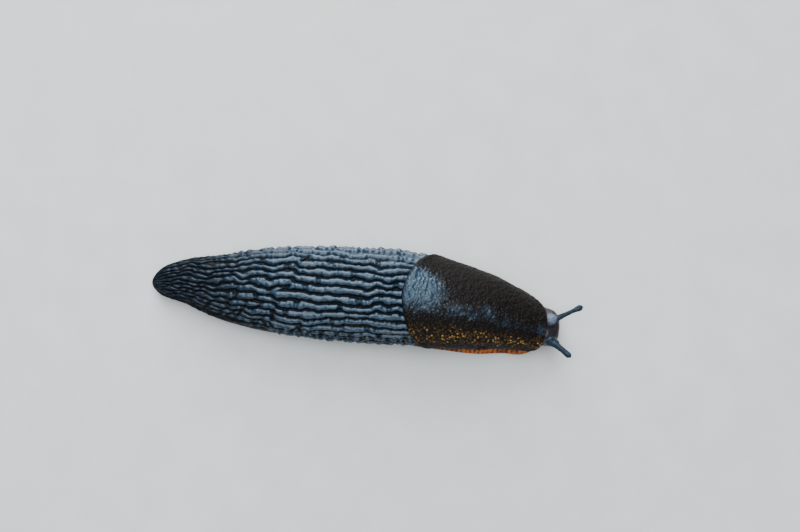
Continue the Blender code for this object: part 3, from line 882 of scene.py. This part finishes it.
def make_mantle(form):
    """Mantle as a closed form: the outer sheet with a round lip, tucked under and rooted in the body."""
    along, around = MANTLE_GRID
    way, share = np.meshgrid(np.linspace(0, 1, along), np.linspace(-1, 1, around), indexing="ij")
    station = mantle_station(way, share)
    rear, front = mantle_limits(share)
    to_side = (1 - np.abs(share)) * MANTLE_HALF_ANGLE * smooth(BODY_SIZES, 1, station)
    inward = np.minimum(np.minimum(station - rear, front - station), to_side)
    rim = 1 - np.clip(inward / MANTLE_RIM, 0, 1)
    relief, saddle = mantle_relief(station, share, form)
    thickness = MANTLE_THICKNESS * (RIM_EDGE_SHARE + (1 - RIM_EDGE_SHARE) * np.sqrt(1 - rim**2))
    thickness = thickness + RIM_SWELL.over(inward)
    outer = body_surface(station, share * MANTLE_HALF_ANGLE, MANTLE_LIFT + thickness + relief * (1 - rim))

    def tucked(tuck, rise):
        """The sheet drawn in by a tuck from its edges, at a rise over the body."""
        small = 1 - 2 * tuck / (MANTLE_FRONT - MANTLE_REAR - MANTLE_REAR_SWEEP)
        narrow = 1 - tuck / (MANTLE_HALF_ANGLE * smooth(BODY_SIZES, 1, MANTLE_MIDDLE))
        where = mantle_station(0.5 + (way - 0.5) * small, share * narrow)
        return body_surface(where, share * narrow * MANTLE_HALF_ANGLE, rise)

    sheets = (outer, tucked(LIP_TUCK, LIP_UNDER), tucked(LIP_ROOT, -ROOT_DEPTH))
    points = np.concatenate([sheet.reshape(-1, 3) for sheet in sheets])
    quads = mantle_faces(along, around)
    flat = np.stack((station - MANTLE_REAR, (share + 1) * MANTLE_UV_REACH), axis=-1).reshape(-1, 2)
    corners = (MANTLE_UV, LINING_UV, LINING_UV)
    uvs = np.concatenate([flat * UV_SCALE + corner for corner in corners])[quads]
    band = BAND.over(np.abs(share) * MANTLE_HALF_ANGLE) * ramp(*BAND_START, station)
    band = band * (BAND_LEFT_SHARE + (1 - BAND_LEFT_SHARE) * (share < 0))
    marks = all_marks(
        along=np.tile(station.ravel(), 3),
        mantle=1,
        # The sheen mark: painted sky reflection on the rear patch and on the streak forward from it
        saddle=np.tile(np.maximum(saddle, STREAK_ACROSS.over(share)).ravel(), 3),
        band=np.tile(band.ravel(), 3),
        crest=np.tile((0.5 + RELIEF_TO_CREST * relief).clip(0, 1).ravel(), 3),
    )
    made = new_object("mantle_form", points, quads, uvs, marks)
    with editing(made.data) as mesh:
        loose = [vert for vert in mesh.verts if not vert.link_faces]
        bmesh.ops.delete(mesh, geom=loose, context="VERTS")
    return welded(made)


def tentacle_plan():
    """Name, root point, direction, length, root radius and tip radius of each tentacle, in millimetres."""
    found = []
    for name, base, sizes in (
        ("upper_left", UPPER_ROOT, UPPER_LEFT),
        ("upper_right", UPPER_ROOT, UPPER_RIGHT),
        ("lower_left", LOWER_ROOT, LOWER_LEFT),
        ("lower_right", LOWER_ROOT, LOWER_RIGHT),
    ):
        across, length, root, tip, lift, turn = sizes
        station, level = base
        forward, left = heading(station)
        flat = math.cos(turn) * forward + math.sin(turn) * left
        way = math.cos(lift) * flat + Vector((0, 0, math.sin(lift)))
        point = Vector(from_midline(station, across, level))
        found.append((name, point, way.normalized(), length, root, tip))
    return found


def stalk_roughness(t, around, number):
    """Granules and fine creases of a tentacle, as a share of its radius."""
    grains = STALK_GRAIN.over(t, around * STALK_GRAIN_PER_RADIAN + STALK_GRAIN_APART * number)
    creases = STALK_CREASE_DEPTH * np.sin(2 * math.pi * t / STALK_CREASE_PITCH)
    return grains + creases * ramp(*STALK_CREASE_START, t)


def make_tentacle(number, name, point, way, length, root, tip):
    """A tentacle turned round its axis, from its swollen root in the head to its rounded tip."""
    upper = name.startswith("upper")
    total = COLLAR_LENGTH + length + (EYE_GAP if upper else 0)
    turns = np.linspace(0, math.pi / 2, TIP_RINGS)[1:]
    body = np.linspace(-COLLAR_SINK, total - tip, STALK_RINGS)
    along = np.concatenate((body, total - tip * (1 - np.sin(turns))))
    q = np.clip((along - COLLAR_LENGTH) / length, 0, 1)
    radius = root * (1 - (1 - STALK_WAIST) * np.sin(math.pi / 2 * np.clip(q / WAIST_PLACE, 0, 1)))
    if upper:
        radius = radius + (tip - root * STALK_WAIST) * ramp(KNOB_START, 1, q)
    else:
        radius = radius * (1 - LOWER_TAPER * q)
    radius = radius + (UPPER_SWELL if upper else LOWER_SWELL).over(along)
    radius = radius * np.concatenate((np.ones(len(body)), np.cos(turns)))
    theta = np.linspace(0, 2 * math.pi, STALK_SIDES + 1)[:-1]
    t, a = np.meshgrid(along, theta, indexing="ij")
    rough = stalk_roughness(t, a, number)
    r = radius[:, None] * (1 + rough * (radius[:, None] > ROUGH_RADIUS))
    aside = way.cross(Vector((0, 0, 1))).normalized()
    up = np.array(aside.cross(way))
    bend = STALK_BEND * np.sin(math.pi * q)[:, None, None] * up if upper else 0
    centre = np.array(point) + t[..., None] * np.array(way) + bend
    outward = np.cos(a)[..., None] * np.array(aside) + np.sin(a)[..., None] * up
    points = centre + r[..., None] * outward
    quads, ring, column = tube_faces(*points.shape[:2])
    u = STALK_UV[0] + (along[ring] + COLLAR_SINK) * UV_SCALE
    v = STALK_UV[1] + STALK_UV_APART * number + column * STALK_UV_SIDE
    marks = all_marks(
        along=t.ravel() * STALK_ALONG,
        horn=1,
        crest=(0.5 + ROUGH_TO_CREST * rough).clip(0, 1).ravel(),
    )
    made = new_object(name + "_form", points.reshape(-1, 3), quads, np.stack((u, v), axis=-1), marks)
    with editing(made.data) as mesh:
        bmesh.ops.holes_fill(mesh, edges=mesh.edges)
    return welded(made)


def make_ball(name, centre, radii, sides, marks):
    """A finely turned ellipsoid that lies along the head."""
    mesh = bmesh.new()
    bmesh.ops.create_uvsphere(mesh, u_segments=sides, v_segments=sides * 2 // 3, radius=1, calc_uvs=False)
    forward = heading(MOUTH_STATION)[0]
    turn = Matrix.Rotation(math.atan2(forward.y, forward.x), 4, "Z")
    size = Matrix.Diagonal((*[radius * MM for radius in radii], 1))
    place = Matrix.Translation(Vector(centre) * MM)
    bmesh.ops.transform(mesh, matrix=place @ turn @ size, verts=mesh.verts)
    layer = mesh.loops.layers.uv.new("OFBake")
    for face in mesh.faces:
        for loop in face.loops:
            offset = loop.vert.co / MM - Vector(centre)
            u = BALL_UV[0] + BALL_UV_SCALE * offset.x
            v = BALL_UV[1] + BALL_UV_SCALE * offset.y + BALL_UV_RISE * offset.z
            loop[layer].uv = (u, v)
    data = bpy.data.meshes.new(name)
    mesh.to_mesh(data)
    mesh.free()
    set_marks(data, marks)
    return put(name, data)


def boolean(made, others, operation):
    """Joins or cuts closed forms into one mesh and removes the forms that went in."""
    group = bpy.data.collections.new(operation.lower())
    bpy.context.scene.collection.children.link(group)
    for other in others:
        group.objects.link(other)
        bpy.context.scene.collection.objects.unlink(other)
    step = made.modifiers.new(operation.lower(), "BOOLEAN")
    step.operation = operation
    step.operand_type = "COLLECTION"
    step.collection = group
    step.solver = "MANIFOLD"
    graph = bpy.context.evaluated_depsgraph_get()
    data = bpy.data.meshes.new_from_object(made.evaluated_get(graph))
    made.modifiers.clear()
    made.data = data
    for other in others:
        bpy.data.objects.remove(other)
    bpy.data.collections.remove(group)


def soften_head(made):
    """Rounds the creases where the tentacles and lips come out of the head, and fades the colours there."""
    roots = [point for _, point, *_ in tentacle_plan()]
    with editing(made.data) as mesh:
        marks = mesh.verts.layers.float
        creased = [
            vert.co.copy()
            for edge in mesh.edges
            if edge.is_manifold and edge.calc_face_angle() > CREASE_ANGLE
            for vert in edge.verts
            if min((vert.co / MM - root).length for root in roots) < ROOT_REACH
        ]
        tree = KDTree(len(creased))
        for number, point in enumerate(creased):
            tree.insert(point, number)
        tree.balance()
        head = [vert for vert in mesh.verts if vert[marks["mantle"]] + vert[marks["fringe"]] < 0.5]
        near = [vert for vert in head if tree.find(vert.co)[2] < CREASE_REACH * MM]
        bmesh.ops.remove_doubles(mesh, verts=near, dist=CREASE_MERGE * MM)
        near = [vert for vert in near if vert.is_valid]
        for vert in near:
            vert[marks["horn"]] = 1
            vert[marks["crest"]] = HEAD_CREST
        even_out(mesh, near, CREASE_PASSES)
        around = [vert for vert in head if vert.is_valid and tree.find(vert.co)[2] < TINT_REACH * MM]
        for _ in range(TINT_PASSES):
            means = [
                sum(edge.other_vert(vert)[marks["along"]] for edge in vert.link_edges) / len(vert.link_edges)
                for vert in around
            ]
            for vert, mean in zip(around, means):
                vert[marks["along"]] = mean


def drop_folds(made):
    """Cuts the skin into triangles and removes those that lie flat on one another along a join."""
    with editing(made.data) as mesh:
        bmesh.ops.triangulate(mesh, faces=mesh.faces[:])
        folded = True
        while folded:
            corners = {}
            for face in mesh.faces:
                corners.setdefault(frozenset(face.verts), []).append(face)
            folded = [face for faces in corners.values() if len(faces) > 1 for face in faces]
            bmesh.ops.delete(mesh, geom=folded, context="FACES")


def pale_highlit_bulge(made):
    """Marks the swollen root of the left upper tentacle, pale skin with a painted highlight, so that its
    colour fades into the head.
    """
    count = len(made.data.vertices)
    points, horn, saddle = np.empty(count * 3), np.empty(count), np.empty(count)
    marks = made.data.attributes
    made.data.vertices.foreach_get("co", points)
    marks["horn"].data.foreach_get("value", horn)
    marks["saddle"].data.foreach_get("value", saddle)
    station, across, reach, _ = BULGES[0]
    middle = from_midline(station, across, UPPER_ROOT[1] + PALE_LIFT)
    apart = np.linalg.norm(points.reshape(-1, 3) / MM - middle, axis=1)
    pale = 1 - ramp(PALE_FADE[0] * reach, PALE_FADE[1] * reach, apart)
    pale = pale * ramp(0.5, 1, horn)
    marks["saddle"].data.foreach_set("value", np.maximum(saddle, pale))


def frame_shift():
    """Where the body's own frame lies in the CAD model's frame, found from the foot."""
    station = body_stations()
    outline = np.concatenate([foot_sections(station, side).reshape(-1, 3) for side in (1, -1)])
    low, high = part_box("foot")
    middle = (low + high) / 2
    own = (outline.min(axis=0) + outline.max(axis=0)) / 2 * MM
    return Vector((middle.x - own[0], middle.y - own[1], 0))


class Wire:
    """A socket of a material, so that shader maths reads as arithmetic."""

    def __init__(self, finish, socket):
        self.finish = finish
        self.socket = socket

    def maths(self, operation, *values):
        return self.finish.node("ShaderNodeMath", {"operation": operation}, dict(enumerate(values)))

    def __add__(self, other):
        return self.maths("ADD", self, other)

    def __sub__(self, other):
        return self.maths("SUBTRACT", self, other)

    def __rsub__(self, other):
        return self.maths("SUBTRACT", other, self)

    def __mul__(self, other):
        return self.maths("MULTIPLY", self, other)

    def sine(self):
        return self.maths("SINE", self)

    __radd__ = __add__
    __rmul__ = __mul__

    def step(self, low, high):
        """0 below low, 1 above high and a smooth step between."""
        settings = {"interpolation_type": "SMOOTHSTEP"}
        values = {"Value": self, "From Min": low, "From Max": high}
        return self.finish.node("ShaderNodeMapRange", settings, values)


class Finish:
    """A material and the nodes that make it."""

    def __init__(self, name):
        self.material = bpy.data.materials.new(name)
        self.material.use_nodes = True
        self.tree = self.material.node_tree
        self.shader = self.tree.nodes["Principled BSDF"]

    def node(self, kind, settings=None, values=None, output=0):
        """Adds a node, sets it up, then links or fills its sockets, and gives one of its outputs."""
        made = self.tree.nodes.new(kind)
        for name, setting in (settings or {}).items():
            setattr(made, name, setting)
        for name, value in (values or {}).items():
            self.fill(made.inputs[name], value)
        return Wire(self, made.outputs[output])

    def fill(self, socket, value):
        if isinstance(value, Wire):
            self.tree.links.new(value.socket, socket)
        elif socket.type == "RGBA":
            socket.default_value = (*value, 1)
        else:
            socket.default_value = value

    def mark(self, name):
        """A value that the mesh carries at each point."""
        return self.node("ShaderNodeAttribute", {"attribute_name": name}, output="Fac")

    def blend(self, factor, colour, other):
        """The first colour where the factor is 0 and the other where it is 1."""
        settings = {"data_type": "RGBA", "clamp_factor": True}
        return self.node("ShaderNodeMix", settings, {0: factor, 6: colour, 7: other}, output=2)

    def place(self):
        """Where each point lies on its object."""
        return self.node("ShaderNodeTexCoord", output="Object")

    def noise(self, where, size, detail):
        """Noise whose features are about a size in millimetres."""
        values = {"Vector": where, "Scale": 1 / (size * MM), "Detail": detail}
        return self.node("ShaderNodeTexNoise", {}, values)

    def cells(self, where, size, output="Distance"):
        """Cells whose width is about a size in millimetres."""
        values = {"Vector": where, "Scale": 1 / (size * MM)}
        return self.node("ShaderNodeTexVoronoi", {}, values, output)

    def bump(self, height, depth, normal=None):
        """A bump of a depth in millimetres, over another one if given."""
        values = {"Height": height, "Distance": depth * MM}
        if normal:
            values["Normal"] = normal
        return self.node("ShaderNodeBump", {}, values)

    def set(self, **sockets):
        """Fills sockets of the shader, written with underscores for spaces."""
        for name, value in sockets.items():
            self.fill(self.shader.inputs[name.replace("_", " ")], value)
        return self.material


def skin_material(colours):
    """Wet skin: crests with a painted blue sky sheen, black grooves, brown mantle with a painted sheen patch
    and painted amber glints, barred fringe and pale sole.
    """
    finish = Finish("wet_skin")
    where = finish.place()
    along, crest = finish.mark("along"), finish.mark("crest")
    mantle, saddle, band = finish.mark("mantle"), finish.mark("saddle"), finish.mark("band")
    fringe, sole, horn = finish.mark("fringe"), finish.mark("sole"), finish.mark("horn")
    grain = finish.noise(where, GRAIN_SIZE, 3)
    mottle = finish.noise(where, MOTTLE_SIZE, 3)
    granules = finish.cells(where, GRANULE_SIZE).step(*GRANULE_EDGE)

    # Ridged back: crests get a painted blue sky sheen, dimmer towards the tail as painted shade, and grooves
    # keep the black skin colour
    lit = (crest + 0.4 * (grain - 0.5)).step(*CREST_EDGE) * (0.36 + 0.64 * along.step(*CREST_TAIL_SHADE))
    lit = lit * (0.7 + 0.6 * mottle)
    back = finish.blend(lit, colours.groove, colours.crest)

    # Mantle: a painted blue sky sheen patch on its top, painted shade in the gaps between granules, then its
    # brown dust and painted amber glints, which reach down to the right flank
    slate_sheen = saddle + mottle - 0.5 - 0.45 * (1 - granules) * (1 - saddle)
    # Gaps between the granules painted near black, as painted shade
    cloak = finish.blend(0.2 + 0.8 * granules, colours.groove, colours.mantle)
    cloak = finish.blend(slate_sheen.step(*SLATE_SHEEN_EDGE), cloak, colours.saddle)
    cell_colour = finish.cells(where, GRANULE_SIZE, output="Color")
    tone = finish.node("ShaderNodeSeparateColor", {}, {0: cell_colour})
    amount = band + 3.0 * (finish.noise(where, PATCH_SIZE, 2) - 0.5)
    amount = amount + 0.9 * (tone - 0.5) + 0.8 * (grain - 0.5)
    # Painted amber glints on granule tops within the band
    glint_flecks = amount.step(*GLINT_EDGE) * granules * band.step(*GLINT_BAND)
    dust = (band + 0.8 * (mottle - 0.5)).step(*DUST_EDGE) * granules
    cloak = finish.blend(dust, cloak, colours.dust)
    cloak = finish.blend(glint_flecks * (0.2 + 0.8 * tone.step(*GLINT_TONE)), cloak, colours.fleck_glint)
    back = finish.blend(glint_flecks * (1 - lit) * 0.7, back, colours.fleck_glint)
    colour = finish.blend(mantle, back, cloak)

    # Head and tentacles, with pale skin and a painted highlight on the root of the left upper tentacle; a
    # little of the back's painted sheen stays
    brown = (mottle + 0.2 * grain).step(*BROWN_EDGE) * along.step(*BROWN_START)
    brow = finish.blend(along.step(*BROWN_START) * 0.6, colours.tentacle, colours.groove)
    brow = finish.blend(brown * 0.4, brow, colours.rust)
    colour = finish.blend(horn * 0.85, colour, finish.blend(saddle, brow, colours.bulge))

    # Fringe, dark towards the tail and under the head, and sole
    wave = (along * (2 * math.pi / FRINGE_PITCH) + 4 * mottle).sine()
    bars = (0.5 * wave + 2.8 * (grain - 0.5) + 3.4 * (mottle - 0.5)).step(*BAR_EDGE)
    dusk = (1 - (along + 14 * (mottle - 0.5)).step(*DUSK_END)) * 0.85 + 0.75 * along.step(*DUSK_FRONT)
    blotch = finish.noise(where, PATCH_SIZE, 3).step(*BLOTCH_EDGE)
    rim = finish.blend(blotch * 0.6, colours.fringe, colours.rust)
    rim = finish.blend(bars * 0.8, rim, colours.bar)
    rim = finish.blend(dusk, rim, colours.bar)
    colour = finish.blend(fringe, colour, rim)
    colour = finish.blend(sole, colour, colours.sole)

    # Gloss and fine relief
    wet_sheen_patch = slate_sheen.step(*SLATE_SHINE)
    rough = (0.65 - 0.33 * lit) * (1 - mantle) + mantle * (0.55 - 0.23 * wet_sheen_patch) - 0.15 * fringe
    shine = (0.1 + 0.9 * lit) * (1 - mantle) + mantle * (0.03 + 1.5 * wet_sheen_patch) * (0.4 + 0.6 * granules)
    relief = granules * (0.55 + 0.45 * (mantle + horn)) + 0.6 * grain + 0.25 * fringe * wave
    shallow = finish.bump(relief, GRANULE_BUMP)
    return finish.set(
        Base_Color=colour,
        Roughness=rough + 0.12 * (grain - 0.5),
        Normal=finish.bump(finish.noise(where, PIT_SIZE, 2), PIT_DEPTH, shallow),
        Coat_Weight=shine * colours.wetness,
        Coat_Roughness=COAT_ROUGHNESS,
        Coat_IOR=SLIME_IOR,
        IOR=SLIME_IOR,
        Specular_IOR_Level=SKIN_SPECULAR,
    )


def eye_material(colours):
    """Glossy black bead with a faint cloud in it."""
    finish = Finish("eye_gloss")
    where = finish.place()
    cloud = finish.noise(where, CLOUD_SIZE, 2)
    colour = finish.blend(cloud.step(*CLOUD_EDGE) * 0.4, colours.eye, colours.tentacle)
    return finish.set(Base_Color=colour, Roughness=0.3 + 0.1 * cloud, Specular_IOR_Level=EYE_SPECULAR)


def floor_material(colour):
    """Pale, matt and barely uneven."""
    finish = Finish("pale_floor")
    where = finish.place()
    tone = finish.noise(where, FLOOR_TONE_SIZE, 4).step(*FLOOR_TONE_EDGE)
    shade = tuple(channel * FLOOR_SHADE for channel in colour)
    return finish.set(Base_Color=finish.blend(tone, colour, shade), Roughness=0.75)


class SLUG_OT_skin(bpy.types.Operator):
    """Model the body, mantle, tentacles and mouth, and join them into one skin"""

    bl_idname = "slug.skin"
    bl_label = "Skin"

    def execute(self, context):
        form, colours = context.scene.slug_form, context.scene.slug_finish
        skin = make_body(form)
        others = [make_mantle(form)]
        others += [make_tentacle(number, *sizes) for number, sizes in enumerate(tentacle_plan())]
        lip_marks = all_marks(horn=1, crest=HEAD_CREST, along=MOUTH_ALONG)
        for side in (1, -1):
            centre = from_midline(MOUTH_STATION, side * LOBE_OFFSET, MOUTH_LEVEL)
            others.append(make_ball("lip_form", centre, LOBE_RADII, LIP_SIDES, lip_marks))
        boolean(skin, others, "UNION")
        front = from_midline(MOUTH_STATION + LOBE_RADII[0], 0, MOUTH_LEVEL)
        mouth_marks = all_marks(horn=1, along=MOUTH_ALONG)
        mouth = make_ball("mouth_form", front, MOUTH_RADII, LIP_SIDES, mouth_marks)
        boolean(skin, [mouth], "DIFFERENCE")
        soften_head(skin)
        drop_folds(skin)
        pale_highlit_bulge(skin)
        skin.name = skin.data.name = "skin"
        skin.data.transform(Matrix.Translation(frame_shift()))
        skin.data.shade_smooth()
        skin.data.materials.clear()
        skin.data.materials.append(skin_material(colours))
        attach(skin, "root")
        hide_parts(*FLESH)
        return {"FINISHED"}


class SLUG_OT_eyes(bpy.types.Operator):
    """Set a glossy bead in the tip of each upper tentacle"""

    bl_idname = "slug.eyes"
    bl_label = "Eyes"

    def execute(self, context):
        finish = eye_material(context.scene.slug_finish)
        shift = frame_shift()
        for name, point, way, length, _, tip in tentacle_plan()[:2]:
            side = name.split("_")[1]
            radius = tip * EYE_SHARE
            centre = point + way * (COLLAR_LENGTH + length + EYE_GAP - radius * EYE_SINK)
            bead = make_ball("eyeball_" + side, centre, (radius,) * 3, EYE_SIDES, {})
            bead.data.transform(Matrix.Translation(shift))
            bead.data.shade_smooth()
            bead.data.materials.append(finish)
            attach(bead, "root")
            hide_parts("eye_" + side)
        return {"FINISHED"}


class SLUG_OT_stage(bpy.types.Operator):
    """Lay the floor, hang the soft light and set the camera over the slug"""

    bl_idname = "slug.stage"
    bl_label = "Floor, light and view"

    def execute(self, context):
        stage = context.scene.slug_stage
        bpy.ops.mesh.primitive_plane_add(size=FLOOR_SIZE, location=(0, 0, 0))
        floor = context.object
        floor.name = "floor"
        floor.data.materials.append(floor_material(stage.floor))
        for name, share, size, place in LAMPS:
            self.hang_light(name, stage.sky_power * share, size, Vector(place))
        world = bpy.data.worlds.new("soft_daylight")
        world.use_nodes = True
        background = world.node_tree.nodes["Background"]
        background.inputs["Color"].default_value = (*SKY_COLOUR, 1)
        background.inputs["Strength"].default_value = SKY_STRENGTH
        context.scene.world = world
        self.set_camera(context, stage)
        return {"FINISHED"}

    def hang_light(self, name, power, size, place):
        """A square lamp that faces the slug."""
        lamp = bpy.data.lights.new(name, "AREA")
        lamp.energy = power
        lamp.size = size
        lamp.color = LAMP_COLOUR
        hung = put(name, lamp)
        hung.location = place
        hung.rotation_euler = place.to_track_quat("Z", "Y").to_euler()

    def set_camera(self, context, stage):
        """Aims the camera so that one point of the midline falls on its pixel of the photograph."""
        aim = Vector((AIM_STATION * MM, 0, AIM_LEVEL * MM)) + frame_shift()
        back = Vector((0, -math.cos(stage.elevation), math.sin(stage.elevation)))
        turn = back.to_track_quat("Z", "Y")
        focal = LENS / SENSOR * PHOTO_SIZE[0]
        right = (AIM_PIXEL[0] - PHOTO_SIZE[0] / 2) / focal
        up = (PHOTO_SIZE[1] / 2 - AIM_PIXEL[1]) / focal
        camera = put("camera", bpy.data.cameras.new("camera"))
        camera.data.lens = LENS
        camera.data.sensor_width = SENSOR
        camera.data.clip_start = NEAR_CLIP
        camera.rotation_euler = turn.to_euler()
        camera.location = aim - turn @ (Vector((right, up, -1)) * stage.distance)
        context.scene.camera = camera


class SLUG_PT_panel(bpy.types.Panel):
    """Buttons and sizes of the slug"""

    bl_idname = "SLUG_PT_panel"
    bl_label = "Slug"
    bl_space_type = "VIEW_3D"
    bl_region_type = "UI"
    bl_category = "Slug"

    def draw(self, context):
        scene = context.scene
        for operator in OPERATORS:
            self.layout.operator(operator.bl_idname)
        for settings in (scene.slug_form, scene.slug_finish, scene.slug_stage):
            for name in settings.__annotations__:
                self.layout.prop(settings, name)


OPERATORS = (SLUG_OT_skin, SLUG_OT_eyes, SLUG_OT_stage)
SETTINGS = {
    "slug_form": SlugFormSettings,
    "slug_finish": SlugFinishSettings,
    "slug_stage": SlugStageSettings,
}


def register():
    for made in (*SETTINGS.values(), *OPERATORS, SLUG_PT_panel):
        bpy.utils.register_class(made)
    for name, settings in SETTINGS.items():
        setattr(bpy.types.Scene, name, bpy.props.PointerProperty(type=settings))


def unregister():
    for name in SETTINGS:
        delattr(bpy.types.Scene, name)
    for made in (SLUG_PT_panel, *OPERATORS, *SETTINGS.values()):
        bpy.utils.unregister_class(made)


def main():
    register()
    bpy.ops.slug.skin()
    bpy.ops.slug.eyes()
    bpy.ops.slug.stage()


if __name__ == "__main__":
    main()
